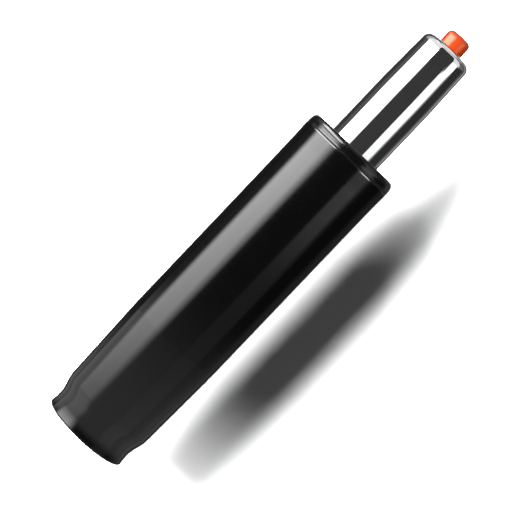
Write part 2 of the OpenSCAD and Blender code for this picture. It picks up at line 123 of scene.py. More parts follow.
# Tints and the studio
WHITE = (1.0, 1.0, 1.0, 1.0)
WARM = (1.0, 0.88, 0.62, 1.0)
PLAIN_SHEET = (0.8, 0.8, 0.8, 1.0)
BRIGHT_SHEET = (8.4, 8.4, 8.4, 1.0)
ROOM_LIGHT = 0.0067
BACKDROP_HALF = 1.6
RING_HOLE = 0.12
CARD_INSET = 0.02
LAMP_TARGET = (0.0, 0.0, 0.12)
CAMERA_CLIP = (0.05, 20.0)


def foot_of(node):
    """Lowest height of a solid."""
    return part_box(node)[0].z


def top_of(node):
    """Highest height of a solid."""
    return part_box(node)[1].z


def reach_of(node):
    """Largest radius of a turned solid."""
    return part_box(node)[1].x


def ends_of(node):
    """Lowest height, highest height and largest radius of a turned solid."""
    return foot_of(node), top_of(node), reach_of(node)


# Settings that a user would change


def length(name, description, default):
    """Length with its default in millimetres."""
    return FloatProperty(
        name=name,
        description=description,
        default=default * MM,
        min=0.0,
        precision=5,
        unit="LENGTH",
        subtype="DISTANCE",
    )


def ratio(name, description, default):
    return FloatProperty(name=name, description=description, default=default, min=0.0, precision=3)


def angle(name, description, default):
    return FloatProperty(
        name=name, description=description, default=math.radians(default), unit="ROTATION", subtype="ANGLE"
    )


def colour(name, description, default):
    return FloatVectorProperty(
        name=name, description=description, default=default, size=3, min=0.0, max=1.0, subtype="COLOR"
    )


def power(name, description, default):
    return FloatProperty(name=name, description=description, default=default, min=0.0, unit="POWER")


class ColumnSizes(bpy.types.PropertyGroup):
    """Sizes of the black column tube."""

    height: length("Height", "Height of the column's mouth", top_of("column_tube") / MM)
    radius: length("Radius", "Radius of the parallel length", 25)
    mouth_radius: length("Mouth radius", "Radius of the flared mouth", reach_of("column_tube") / MM)
    wall: length("Wall", "Wall of the tube", 2)
    taper_top: length("Taper top", "Height where the base taper ends", 62)
    taper_run: ratio("Taper run", "Length of taper for each unit of diameter", 19.92)
    neck_top: length("Neck top", "Height where the base taper starts", 18)
    neck_in: length("Neck in", "How far the neck draws in, on the radius", 2.15)
    waist: length("Waist", "Height of the narrowest place", 6)
    foot_flare: length("Foot flare", "How far the foot flares out again, on the radius", 0.45)
    foot_edge: length("Foot edge", "Edge radius of the foot's rim", 1)
    crimp_drop: length("Crimp drop", "From the mouth down to the crimp groove", 8.2)
    crimp_height: length("Crimp height", "Height of the crimp groove", 10)
    crimp_depth: length("Crimp depth", "Depth of the crimp groove", 0.03)
    seam_edge: length("Seam edge", "Height of the soft edges at the seam under the bush head", 1.0)
    seam_depth: length("Seam depth", "Depth of the soft edges at the seam", 0.35)


class BushSizes(bpy.types.PropertyGroup):
    """Sizes of the plastic guide bush."""

    head_edge: length("Head edge", "Height of the soft edge round the top of the head", 3.8)
    head_depth: length("Head depth", "Depth of that edge", 2.35)
    lip: length("Lip", "Height of the fine lip round the foot of the head", 0.65)
    lip_depth: length("Lip depth", "How far the lip stands out from the head", 0.16)
    lip_edge: length("Lip edge", "Height of the soft edge under the lip", 0.6)
    mouth_edge: length("Mouth edge", "Bevel at the mouth of the bore", 0.6)
    bore: length("Bore", "Radius of the guiding bore", 14.06)
    sleeve_wall: length("Sleeve wall", "Wall of the inner sleeve", 3)
    skin_gap: length("Skin gap", "Gap between the bush and the column's bore", 0.03)
    land: length("Land", "Height of the solid land at the lower end", 8)
    face: length("Face", "Length of each guiding face in the bore", 20)
    relief: length("Relief", "Depth of the relief between the faces", 0.5)
    rib_thickness: length("Rib thickness", "Thickness of each rib", 3)
    rib_count: IntProperty(name="Rib count", description="Number of ribs", default=8, min=3)


class TubeSizes(bpy.types.PropertyGroup):
    """Sizes of the chromed pressure tube."""

    radius: length("Radius", "Radius of the tube", reach_of("pressure_tube") / MM)
    wall: length("Wall", "Wall of the tube", 1.5)
    roll: length("Roll", "Outer radius of the rolled ends", 3.8)
    taper: length("Taper", "Length of the seat taper", 30)
    taper_run: ratio("Taper run", "Length of taper for each unit of diameter", 19.92)
    lower_mouth: length("Lower mouth", "Radius of the opening at the lower end", 8)
    upper_mouth: length("Upper mouth", "Radius of the opening round the button", 6.8)
    lip_edge: length("Lip edge", "Edge radius of the rolled lip", 0.35)


class ButtonSizes(bpy.types.PropertyGroup):
    """Sizes of the release button."""

    radius: length("Radius", "Radius of the button", 6.3)
    edge: length("Edge", "Edge radius round the top", 2.4)
    collar: length("Collar", "Height of the collar that keeps it in", 2.2)
    collar_edge: length("Collar edge", "Edge radius of the collar", 0.3)
    socket: length("Socket", "Radius of the pin's socket", 2.03)
    cap: length("Cap", "Thickness of the top over the pin", 4.5)
    gate_ring: length("Gate ring", "Radius of the moulding ring on the top", 1.6)
    gate_depth: length("Gate depth", "Depth of the moulding ring", 0.1)


class FootSizes(bpy.types.PropertyGroup):
    """Sizes of the pieces that show in the foot."""

    plate_hole: length("Plate hole", "Radius of the base plate's hole", 4.3)
    plate_edge: length("Plate edge", "Edge radius of the stamped plate", 0.5)
    recess_radius: length("Recess radius", "Radius of the recess for the race", 12.23)
    recess_depth: length("Recess depth", "Depth of the recess for the race", 0.8)
    ring_radius: length("Ring radius", "Radius of the pressed ring on the plate's underside", 15)
    ring_width: length("Ring width", "Width of the pressed ring", 1.6)
    ring_depth: length("Ring depth", "Depth of the pressed ring", 0.35)
    journal: length("Journal", "Radius of the rod's journal", 4)
    groove: length("Groove", "Radius at the bottom of the clip's groove", 3.2)
    groove_gap: length("Groove gap", "Gap between the clip and its groove", 0.03)
    tenon: length("Tenon", "Radius of the rod's tenon", 3)
    rod_chamfer: length("Rod chamfer", "Chamfer at the rod's ends", 0.6)
    drill_radius: length("Drill radius", "Radius of the centre hole in the rod's end", 1.2)
    washer_hole: length("Washer hole", "Radius of the clip washer's hole", 4.03)
    washer_edge: length("Washer edge", "Edge radius of the clip washer", 0.18)
    prong_width: length("Prong width", "Width of the clip's prongs", 2.4)
    clip_edge: length("Clip edge", "Edge radius of the clip", 0.14)


class Finishes(bpy.types.PropertyGroup):
    """Colours of the finishes."""

    coat: colour("Coat", "Black coat of the column", (0.0018, 0.0018, 0.0019))
    bush: colour("Bush", "Black plastic of the bush", (0.0030, 0.0030, 0.0032))
    chrome: colour("Chrome", "Bright chrome of the tube", (0.82, 0.825, 0.83))
    button: colour("Button", "Orange plastic of the button", (0.86, 0.092, 0.019))
    steel: colour("Steel", "Ground and hardened steel", (0.52, 0.52, 0.53))
    zinc: colour("Zinc", "Zinc plate", (0.56, 0.57, 0.58))
    oxide: colour("Oxide", "Blackened spring steel", (0.055, 0.055, 0.060))
    brass: colour("Brass", "Brass", (0.71, 0.50, 0.20))
    aluminium: colour("Aluminium", "Turned aluminium", (0.72, 0.73, 0.74))
    rubber: colour("Rubber", "Black rubber", (0.012, 0.012, 0.012))
    plug: colour("Plug", "Black plastic of the inner plug", (0.010, 0.010, 0.011))
    guide: colour("Guide", "Pale plastic of the rod guide", (0.72, 0.70, 0.64))


class StageSettings(bpy.types.PropertyGroup):
    """The plain studio."""

    camera_distance: length("Camera distance", "From the axis to the camera", 900)
    camera_height: length("Camera height", "Height of the camera", 180)
    aim_height: length("Aim height", "Height that the camera looks at", 116)
    aim_side: length("Aim side", "How far to the right of the axis it looks", 4.2)
    view_width: length("View width", "Width of the picture at the axis", 243.7)
    lean: angle("Lean", "Angle of the axis above the picture's horizon", 46.4)
    backdrop_gap: length("Backdrop gap", "From the axis to the backdrop behind it", 84.78)
    card_radius: length("Card radius", "Radius of the ring of cards", 600)
    key_power: power("Key power", "Power of the key lamps together", 18.0)
    fill_power: power("Fill power", "Power of each lamp behind", 9.0)


# Profiles, as points of radius and height


def ease(share):
    """Soft step from 0 to 1."""
    return (1 - math.cos(math.pi * share)) / 2


def soft_curve(start, end):
    """Points of a soft curve that is upright at both ends."""
    points = []
    for step in range(SOFT_STEPS + 1):
        share = step / SOFT_STEPS
        radius = start[0] + (end[0] - start[0]) * ease(share)
        points.append((radius, start[1] + (end[1] - start[1]) * share))
    return points


def crimp_curve(wall, depth, start, middle, end):
    """Points of the crimp groove in a wall."""
    lower = soft_curve((wall, start), (wall - depth, middle))
    upper = soft_curve((wall - depth, middle), (wall, end))
    return lower + upper[1:]


def oval_edge(reach, middle, depth, rise, start):
    """Points of a quarter of an oval edge, upwards from a start angle about its middle height."""
    points = []
    for step in range(EDGE_STEPS + 1):
        turn = start + math.pi / 2 * step / EDGE_STEPS
        points.append((reach - depth + depth * math.cos(turn), middle + rise * math.sin(turn)))
    return points


def lower_edge(reach, foot, depth, rise):
    """Points of the soft edge between an underside and a wall."""
    return oval_edge(reach, foot + rise, depth, rise, -math.pi / 2)


def upper_edge(reach, top, depth, rise):
    """Points of the soft edge between a wall and a top face."""
    return oval_edge(reach, top - rise, depth, rise, 0.0)


def rounded(corners):
    """Closed profile from corners of radius, height and, where it is round, edge radius.

    Each arc has a holding point on either side.
    """
    points = []
    for index, corner in enumerate(corners):
        if len(corner) == 2:
            points.append(corner)
            continue
        here = Vector(corner[:2])
        edge = corner[2]
        before = (Vector(corners[index - 1][:2]) - here).normalized()
        after = (Vector(corners[(index + 1) % len(corners)][:2]) - here).normalized()
        half = before.angle(after) / 2
        reach = edge / math.tan(half)
        middle = here + (before + after).normalized() * (edge / math.sin(half))
        first = here + before * reach - middle
        last = here + after * reach - middle
        from_angle = math.atan2(first.y, first.x)
        sweep = (math.atan2(last.y, last.x) - from_angle + math.pi) % (2 * math.pi) - math.pi
        points.append(tuple(here + before * reach * HOLD_SHARE))
        for step in range(EDGE_STEPS + 1):
            turn = from_angle + sweep * step / EDGE_STEPS
            points.append((middle.x + edge * math.cos(turn), middle.y + edge * math.sin(turn)))
        points.append(tuple(here + after * reach * HOLD_SHARE))
    return points


# Meshes


def even_angles(count):
    return [2 * math.pi * step / count for step in range(count)]


def stacked(name, rings, angles):
    """Closed mesh from a closed row of rings, each a height with one radius or one for each angle."""
    body = bmesh.new()
    rows = []
    for radius, height in rings:
        radii = radius if isinstance(radius, list) else [radius] * len(angles)
        if max(radii) < AXIS_REACH:
            rows.append([body.verts.new((0, 0, height))])
            continue
        row = []
        for turn, reach in zip(angles, radii):
            row.append(body.verts.new((reach * math.cos(turn), reach * math.sin(turn), height)))
        rows.append(row)
    count = len(angles)
    for index, row in enumerate(rows):
        other = rows[(index + 1) % len(rows)]
        if len(row) == 1 and len(other) == 1:
            continue
        for step in range(count):
            after = (step + 1) % count
            if len(row) == 1:
                body.faces.new((row[0], other[after], other[step]))
            elif len(other) == 1:
                body.faces.new((row[step], row[after], other[0]))
            else:
                body.faces.new((row[step], row[after], other[after], other[step]))
    bmesh.ops.remove_doubles(body, verts=body.verts, dist=MERGE_REACH)
    return shaded(name, body)


def shaded(name, body):
    """Mesh object from a bmesh, smooth with its sharp edges kept."""
    bmesh.ops.recalc_face_normals(body, faces=body.faces)
    for face in body.faces:
        face.smooth = True
    for edge in body.edges:
        edge.smooth = len(edge.link_faces) != 2 or edge.calc_face_angle() < SHARP_ANGLE
    return mesh_object(name, body)


def mesh_object(name, body):
    """Mesh object from a bmesh."""
    mesh = bpy.data.meshes.new(name)
    body.to_mesh(mesh)
    body.free()
    return linked_object(name, mesh)


def linked_object(name, data):
    """New object in the scene."""
    made = bpy.data.objects.new(name, data)
    bpy.context.scene.collection.objects.link(made)
    return made


def turned(name, profile):
    """Solid of revolution about the axis from a closed profile."""
    return stacked(name, profile, even_angles(SEGMENTS))


def finish_of(slot):
    """Material made here for a slot. The solids' own materials have the slot's plain name."""
    return bpy.data.materials[slot + "_finish"]


def fitted(piece, node, slot):
    """Gives a piece its finish and its body, and lets it stand for its solid."""
    piece.data.materials.append(finish_of(slot))
    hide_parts(node)
    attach(piece, frame["nodes"][node]["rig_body"])


def finished(slot, *nodes):
    """Gives carried-over solids their finish."""
    for node in nodes:
        materials = frame["nodes"][node].data.materials
        materials.clear()
        materials.append(finish_of(slot))


# Shader nodes


def put(tree, socket, value):
    """Links another node's output to a socket, or sets the socket's value."""
    if isinstance(value, bpy.types.NodeSocket):
        tree.links.new(value, socket)
    else:
        socket.default_value = value


def add(tree, kind, settings=None, **inputs):
    """New shader node with its settings, and its inputs by name."""
    made = tree.nodes.new("ShaderNode" + kind)
    for key, value in (settings or {}).items():
        setattr(made, key, value)
    for key, value in inputs.items():
        put(tree, made.inputs[key.replace("_", " ")], value)
    return made


def fed(tree, kind, *values):
    """New shader node with its inputs in their order."""
    made = tree.nodes.new("ShaderNode" + kind)
    for socket, value in zip(made.inputs, values):
        put(tree, socket, value)
    return made


def calc(tree, operation, *values):
    """Output of a Math node."""
    made = fed(tree, "Math", *values)
    made.operation = operation
    return made.outputs[0]


def spread(tree, value, low, high, to_low, to_high):
    """Output of a clamped Map Range node."""
    return fed(tree, "MapRange", value, low, high, to_low, to_high).outputs[0]


def mask(tree, value, low, high):
    """From 0 to 1 while a value goes from low to high."""
    return spread(tree, value, low, high, 0.0, 1.0)


def between(tree, share, first, second):
    """Number between two others by a share of 0 to 1."""
    return spread(tree, share, 0.0, 1.0, first, second)


def blended(tree, share, first, second):
    """Output of a colour Mix node."""
    made = tree.nodes.new("ShaderNodeMix")
    made.data_type = "RGBA"
    put(tree, made.inputs[0], share)
    put(tree, made.inputs[6], first)
    put(tree, made.inputs[7], second)
    return made.outputs[2]


def solid_colour(values, factor=1.0):
    """Colour with alpha, made lighter or darker by a factor."""
    return tuple(min(1.0, value * factor) for value in values) + (1.0,)


def noise(tree, place, scale, settings=None, **inputs):
    """Output of a Noise Texture node."""
    return add(tree, "TexNoise", settings, Vector=place, Scale=scale, **inputs).outputs["Fac"]


def new_group(name, inputs, outputs):
    """Shader node group with plain number sockets."""
    tree = bpy.data.node_groups.new(name, "ShaderNodeTree")
    for label, default in inputs:
        socket = tree.interface.new_socket(label, in_out="INPUT", socket_type="NodeSocketFloat")
        socket.default_value = default
    for label in outputs:
        tree.interface.new_socket(label, in_out="OUTPUT", socket_type="NodeSocketFloat")
    start = tree.nodes.new("NodeGroupInput")
    end = tree.nodes.new("NodeGroupOutput")
    return tree, start.outputs, end.inputs


def place_of(tree):
    """Place on the piece, as a vector and as its three numbers."""
    place = add(tree, "TexCoord").outputs["Object"]
    parts = add(tree, "SeparateXYZ", Vector=place).outputs
    return place, parts["X"], parts["Y"], parts["Z"]


def make_grain_group():
    """Fine grain of a coat or a moulding, with a coarser swell under it."""
    tree, given, result = new_group("fine_grain", [("Scale", 900.0), ("Swell", 0.5)], ["Height", "Mottle"])
    coarse_share = 0.13
    place = place_of(tree)[0]
    fine = noise(tree, place, given["Scale"], Detail=3.0, Roughness=0.55)
    coarse = noise(tree, place, calc(tree, "MULTIPLY", given["Scale"], coarse_share), Detail=2.0)
    swell = calc(tree, "MULTIPLY", coarse, given["Swell"])
    put(tree, result["Height"], calc(tree, "ADD", fine, swell))
    put(tree, result["Mottle"], mask(tree, coarse, 0.3, 0.7))


def make_ring_group():
    """Rings that turning, grinding and polishing leave round the axis."""
    inputs = [("Scale", 4000.0), ("Break up", 60.0)]
    tree, given, result = new_group("turned_rings", inputs, ["Height", "Mark"])
    place, x, y, z = place_of(tree)
    squares = calc(tree, "ADD", calc(tree, "MULTIPLY", x, x), calc(tree, "MULTIPLY", y, y))
    row = add(tree, "CombineXYZ", X=calc(tree, "SQRT", squares), Y=z, Z=0.0).outputs["Vector"]
    rings = noise(tree, row, given["Scale"], {"noise_dimensions": "2D"}, Detail=2.0)
    patches = noise(tree, place, given["Break up"], Detail=2.0)
    height = calc(tree, "MULTIPLY", rings, patches)
    put(tree, result["Height"], height)
    put(tree, result["Mark"], mask(tree, height, 0.15, 0.4))


def make_handling_group():
    """Soft patches where a surface was handled or lies dull."""
    tree, given, result = new_group("handling_marks", [("Scale", 40.0), ("Cover", 0.5)], ["Mask"])
    bare_start, cover_reach, softness = 0.75, 0.4, 0.2
    patches = noise(tree, place_of(tree)[0], given["Scale"], Detail=5.0, Roughness=0.6)
    low = calc(tree, "SUBTRACT", bare_start, calc(tree, "MULTIPLY", given["Cover"], cover_reach))
    high = calc(tree, "ADD", low, softness)
    put(tree, result["Mask"], mask(tree, patches, low, high))


def make_rub_group():
    """Rubbed band round one height, broken up along its border."""
    inputs = [("Height", 0.0), ("Reach", 0.001), ("Break up", 700.0)]
    tree, given, result = new_group("rubbed_edge", inputs, ["Mask"])
    place, *_, z = place_of(tree)
    away = calc(tree, "ABSOLUTE", calc(tree, "SUBTRACT", z, given["Height"]))
    near = calc(tree, "SUBTRACT", 1.0, calc(tree, "DIVIDE", away, given["Reach"]))
    grain = noise(tree, place, given["Break up"], Detail=4.0, Roughness=0.65)
    worn = calc(tree, "ADD", near, calc(tree, "SUBTRACT", grain, 0.5))
    put(tree, result["Mask"], mask(tree, worn, 0.55, 0.95))


def make_level_group():
    """Faces that lie level, where a mould was left matt."""
    tree, given, result = new_group("level_faces", [("Start", 0.9)], ["Mask"])
    normal = add(tree, "TexCoord").outputs["Normal"]
    rise = add(tree, "SeparateXYZ", Vector=normal).outputs["Z"]
    put(tree, result["Mask"], mask(tree, rise, given["Start"], 0.995))


def new_finish(slot):
    """Material of a slot with its Principled BSDF."""
    material = bpy.data.materials.new(slot + "_finish")
    material.use_nodes = True
    tree = material.node_tree
    return tree, tree.nodes["Principled BSDF"]


def group(tree, name, **inputs):
    """Outputs of a shared effect."""
    return add(tree, "Group", {"node_tree": bpy.data.node_groups[name]}, **inputs).outputs


def dress(tree, shader, base, roughness, height, depth):
    """Gives a material's shader its colour, roughness and bump."""
    put(tree, shader.inputs["Base Color"], base)
    put(tree, shader.inputs["Roughness"], roughness)
    relief = add(tree, "Bump", Strength=1.0, Distance=depth, Height=height)
    put(tree, shader.inputs["Normal"], relief.outputs["Normal"])


def coat_finish(slot, base, foot, mouth):
    """Smooth black stove coat with a faint orange peel, rubbed a little at the rims."""
    tree, shader = new_finish(slot)
    grain = group(tree, "fine_grain", Scale=750.0, Swell=1.4)
    dull = group(tree, "handling_marks", Scale=28.0, Cover=0.55)["Mask"]
    foot_rub = group(tree, "rubbed_edge", Height=foot, Reach=1.2 * MM)["Mask"]
    mouth_rub = group(tree, "rubbed_edge", Height=mouth, Reach=0.6 * MM)["Mask"]
    rub = calc(tree, "MAXIMUM", foot_rub, mouth_rub)
    plain = blended(tree, grain["Mottle"], solid_colour(base, 0.85), solid_colour(base, 1.2))
    worn = blended(tree, rub, plain, solid_colour(base, 5.0))
    clean_roughness, dull_roughness, rub_roughness = 0.135, 0.16, 0.12
    smooth = between(tree, dull, clean_roughness, dull_roughness)
    rough = calc(tree, "ADD", smooth, calc(tree, "MULTIPLY", rub, rub_roughness))
    peel_depth = 0.0012 * MM
    dress(tree, shader, worn, rough, grain["Height"], peel_depth)


def moulded_finish(slot, edge_height, base, roughness, grain_scale, grain_depth, edge_reach, tint):
    """Moulded plastic with a fine grain, matt level faces and a softly rubbed edge."""
    tree, shader = new_finish(slot)
    grain = group(tree, "fine_grain", Scale=grain_scale, Swell=0.6)
    dull = group(tree, "handling_marks", Scale=90.0, Cover=0.5)["Mask"]
    rub = group(tree, "rubbed_edge", Height=edge_height, Reach=edge_reach, Break_up=900.0)["Mask"]
    level = group(tree, "level_faces")["Mask"]
    plain = blended(tree, grain["Mottle"], solid_colour(base, 0.93), solid_colour(base, 1.06))
    worn = blended(tree, rub, plain, solid_colour(base, 1.25))
    smooth = between(tree, dull, roughness - 0.02, roughness + 0.05)
    level_roughness = 0.45
    rough = calc(tree, "ADD", smooth, calc(tree, "MULTIPLY", level, level_roughness))
    shader.inputs["Specular Tint"].default_value = tint
    dress(tree, shader, worn, rough, grain["Height"], grain_depth)


def metal_finish(slot, base, roughness, ring_scale, ring_depth, stain):
    """Turned, ground or plated metal with the rings that working it leaves."""
    tree, shader = new_finish(slot)
    rings = group(tree, "turned_rings", Scale=ring_scale, Break_up=120.0)
    dull = group(tree, "handling_marks", Scale=55.0, Cover=0.5)["Mask"]
    shade = calc(tree, "MULTIPLY", dull, stain)
    plain = blended(tree, rings["Mark"], solid_colour(base, 0.94), solid_colour(base, 1.03))
    stained = blended(tree, shade, plain, solid_colour(base, 0.6))
    worked = between(tree, rings["Mark"], roughness * 0.85, roughness * 1.2)
    rough = calc(tree, "ADD", worked, calc(tree, "MULTIPLY", dull, roughness * 0.4))
    shader.inputs["Metallic"].default_value = 1.0
    dress(tree, shader, stained, rough, rings["Height"], ring_depth)


def rubber_finish(slot, base):
    """Matt rubber with a dusty bloom."""
    tree, shader = new_finish(slot)
    grain = group(tree, "fine_grain", Scale=1600.0, Swell=0.8)
    bloom = group(tree, "handling_marks", Scale=120.0, Cover=0.6)["Mask"]
    dusty = blended(tree, bloom, solid_colour(base), solid_colour(base, 2.0))
    clean_roughness, dusty_roughness = 0.55, 0.72
    grain_depth = 0.02 * MM
    rough = between(tree, bloom, clean_roughness, dusty_roughness)
    dress(tree, shader, dusty, rough, grain["Height"], grain_depth)


# Shapes of the pieces


def taper_radius(size, height):
    """Outer radius of the column's base taper at a height."""
    return size.radius - (size.taper_top - height) / (2 * size.taper_run)


def column_profile(size):
    """Outline of the column tube, up its outside and down its bore."""
    neck = taper_radius(size, size.neck_top)
    waist = neck - size.neck_in
    bore = size.radius - size.wall
    crimp = size.height - size.crimp_drop
    half_crimp = size.crimp_height / 2
    outside = lower_edge(waist + size.foot_flare, 0.0, size.foot_edge, size.foot_edge)
    for step in range(1, SOFT_STEPS):
        share = 1 - step / SOFT_STEPS
        rise = (size.waist - size.foot_edge) * share
        outside.append((waist + size.foot_flare * share * share, size.waist - rise))
    outside += soft_curve((waist, size.waist), (neck, size.neck_top))
    for height in (size.neck_top + HOLD, size.taper_top - HOLD):
        outside.append((taper_radius(size, height), height))
    outside.append((size.radius, size.taper_top + HOLD))
    flare_start = crimp - half_crimp - size.crimp_height
    flare_end = size.height - HOLD_SHARE * size.seam_edge
    for step in range(FLARE_STEPS + 1):
        share = step / FLARE_STEPS
        height = flare_start + (flare_end - flare_start) * share
        groove = size.crimp_depth * (1 - ease(min(1.0, abs(height - crimp) / half_crimp)))
        flare = (size.mouth_radius - size.radius) * share**FLARE_POWER
        outside.append((size.radius + flare - groove, height))
    outside += upper_edge(size.mouth_radius, size.height, size.seam_depth, size.seam_edge)
    inside = [(bore, size.height)]
    inside += reversed(crimp_curve(bore, size.crimp_depth, crimp - half_crimp, crimp, crimp + half_crimp))
    seat_height = (size.waist + size.neck_top) / 2
    inner_waist = waist - size.wall
    inside += [
        (bore, size.taper_top),
        (neck - size.wall, size.neck_top),
        (inner_waist + size.neck_in / 2, seat_height),
        (inner_waist, seat_height),
        (inner_waist, size.foot_edge / 2),
        (inner_waist + size.foot_edge / 2, 0.0),
    ]
    return outside + inside


def bush_rings(column, size):
    """Rings of the guide bush, up its outside and down its bore, and the angles of their points."""
    low, top, head = ends_of("guide_bush")
    wall = head - size.lip_depth
    skin = column.radius - column.wall - size.skin_gap
    sleeve = size.bore + size.sleeve_wall
    crimp = column.height - column.crimp_drop
    half_crimp = column.crimp_height / 2
    land_top = low + size.land
    upper_land = crimp - column.crimp_height
    lip_foot = column.height + size.lip_edge
    relief = size.bore + size.relief
    root_half = math.asin(size.rib_thickness / 2 / sleeve)
    tip_half = math.asin(size.rib_thickness / 2 / skin)
    pitch = 2 * math.pi / size.rib_count
    gap_steps = SEGMENTS // size.rib_count - RIB_STEPS
    angles = []
    ribbed = []
    for rib in range(size.rib_count):
        middle = pitch * rib
        for turn in (-tip_half, 0.0, tip_half):
            angles.append(middle + turn)
            ribbed.append(skin)
        for step in range(gap_steps + 1):
            angles.append(middle + root_half + (pitch - 2 * root_half) * step / gap_steps)
            ribbed.append(sleeve)
    rings = [(size.bore, low), (skin, low), (skin, land_top)]
    rings += [(ribbed, land_top), (ribbed, upper_land), (skin, upper_land)]
    rings += crimp_curve(skin, column.crimp_depth, crimp - half_crimp, crimp, crimp + half_crimp)
    rings += [(skin, column.height)]
    rings += lower_edge(head, column.height, column.seam_depth, size.lip_edge)
    rings += soft_curve((head, lip_foot), (wall, lip_foot + size.lip))[1:]
    rings += upper_edge(wall, top, size.head_depth, size.head_edge)
    rings += [
        (size.bore + size.mouth_edge, top),
        (size.bore, top - size.mouth_edge),
        (size.bore, top - size.face),
        (relief, top - size.face - size.relief),
        (relief, low + size.face + size.relief),
        (size.bore, low + size.face),
    ]
    return rings, angles


def tube_profile(size):
    """Outline of the pressure tube, up its outside and down its bore."""
    low = foot_of("pressure_tube")
    top = top_of("pressure_tube")
    taper_start = top - size.taper
    narrow = size.radius - size.taper / (2 * size.taper_run)
    bore = size.radius - size.wall
    inner_roll = size.roll - size.wall
    corners = [
        (size.lower_mouth, low, size.lip_edge),
        (size.radius, low, size.roll),
        (size.radius, taper_start - HOLD),
        (size.radius - HOLD / (2 * size.taper_run), taper_start + HOLD),
        (narrow, top, size.roll),
        (size.upper_mouth, top, size.lip_edge),
        (size.upper_mouth, top - size.wall, size.lip_edge),
        (narrow - size.wall, top - size.wall, inner_roll),
        (bore, taper_start),
        (bore, low + size.wall, inner_roll),
        (size.lower_mouth, low + size.wall, size.lip_edge),
    ]
    return rounded(corners)


def button_profile(size):
    """Outline of the release button, up its outside and down its pin socket."""
    low, top, collar = ends_of("release_button")
    collar_top = low + size.collar
    socket_top = top - size.cap
    corners = [
        (size.socket, low),
        (collar, low, size.collar_edge),
        (collar, collar_top, size.collar_edge),
        (size.radius, collar_top),
        (size.radius, top, size.edge),
        (size.gate_ring + size.gate_depth, top),
        (size.gate_ring, top - size.gate_depth),
        (size.gate_ring - size.gate_depth, top),
        (0.0, top),
        (0.0, socket_top),
        (size.socket, socket_top),
    ]
    return rounded(corners)


def plate_profile(size):
    """Outline of the base plate with its pressed ring and the recess for the race."""
    low, top, edge = ends_of("base_plate")
    floor = top - size.recess_depth
    ring_floor = low + size.ring_depth
    ring_inner = size.ring_radius - size.ring_width / 2
    ring_outer = size.ring_radius + size.ring_width / 2
    corners = [
        (size.plate_hole, low, size.ring_depth),
        (ring_inner, low),
        (ring_inner + size.ring_depth, ring_floor),
        (ring_outer - size.ring_depth, ring_floor),
        (ring_outer, low),
        (edge, low, size.plate_edge),
        (edge, top, size.plate_edge / 2),
        (size.recess_radius, top),
        (size.recess_radius, floor),
        (size.plate_hole, floor),
    ]
    return rounded(corners)


def washer_profile(size):
    """Outline of the clip washer."""
    low, top, rim = ends_of("clip_washer")
    corners = [(size.washer_hole, low), (rim, low), (rim, top), (size.washer_hole, top)]
    return rounded([(*corner, size.washer_edge) for corner in corners])


def rod_profile(size):
    """Outline of the piston rod with its centre hole, clip groove, shoulder and tenon."""
    low, top, rod = ends_of("piston_rod")
    clip_low = foot_of("retaining_clip") - size.groove_gap
    clip_top = top_of("retaining_clip") + size.groove_gap
    shoulder = top_of("bearing_race_upper")
    piston = foot_of("piston")
    chamfer = size.rod_chamfer
    return [
        (0.0, low + size.drill_radius),
        (size.drill_radius, low),
        (size.journal - chamfer, low),
        (size.journal, low + chamfer),
        (size.journal, clip_low),
        (size.groove, clip_low),
        (size.groove, clip_top),
        (size.journal, clip_top),
        (size.journal, shoulder),
        (rod, shoulder),
        (rod, piston),
        (size.tenon, piston),
        (size.tenon, top - chamfer),
        (size.tenon - chamfer, top),
        (0.0, top),
    ]


def arc_points(radius, start, end, steps):
    """Points of x and y round the axis."""
    points = []
    for step in range(steps + 1):
        turn = start + (end - start) * step / steps
        points.append((radius * math.cos(turn), radius * math.sin(turn)))
    return points


def clip_body(size):
    """Spring clip with an open mouth and three prongs that reach into the rod's groove."""
    low, top, rim = ends_of("retaining_clip")
    band = (rim + size.journal) / 2
    tip = size.groove + size.groove_gap
    half_prong = size.prong_width / 2
    half_root = math.asin(half_prong / band)
    half_mouth = math.asin(size.groove / rim)
    inner_mouth = math.asin(size.groove / band)
    outline = arc_points(rim, half_mouth - math.pi / 2, 3 * math.pi / 2 - half_mouth, SEGMENTS // 2)
    turn = 3 * math.pi / 2 - inner_mouth
    for prong in (math.radians(210), math.radians(90), math.radians(-30)):
        outline += arc_points(band, turn, prong + half_root, CLIP_STEPS)
        along = Vector((math.cos(prong), math.sin(prong))) * tip
        across = Vector((-math.sin(prong), math.cos(prong))) * half_prong
        outline += [tuple(along + across), tuple(along - across)]
        turn = prong - half_root
    outline += arc_points(band, turn, inner_mouth - math.pi / 2, CLIP_STEPS)
    body = bmesh.new()
    face = body.faces.new([body.verts.new((x, y, low)) for x, y in outline])
    lifted = bmesh.ops.extrude_face_region(body, geom=[face])
    moved = [item for item in lifted["geom"] if isinstance(item, bmesh.types.BMVert)]
    bmesh.ops.translate(body, verts=moved, vec=(0, 0, top - low))
    rims = [edge for edge in body.edges if abs(edge.verts[0].co.z - edge.verts[1].co.z) < MERGE_REACH]
    bmesh.ops.bevel(
        body, geom=rims, offset=size.clip_edge, segments=CLIP_EDGE_STEPS, profile=0.5, affect="EDGES"
    )
    return body


# Operators, one for each piece or group of like pieces


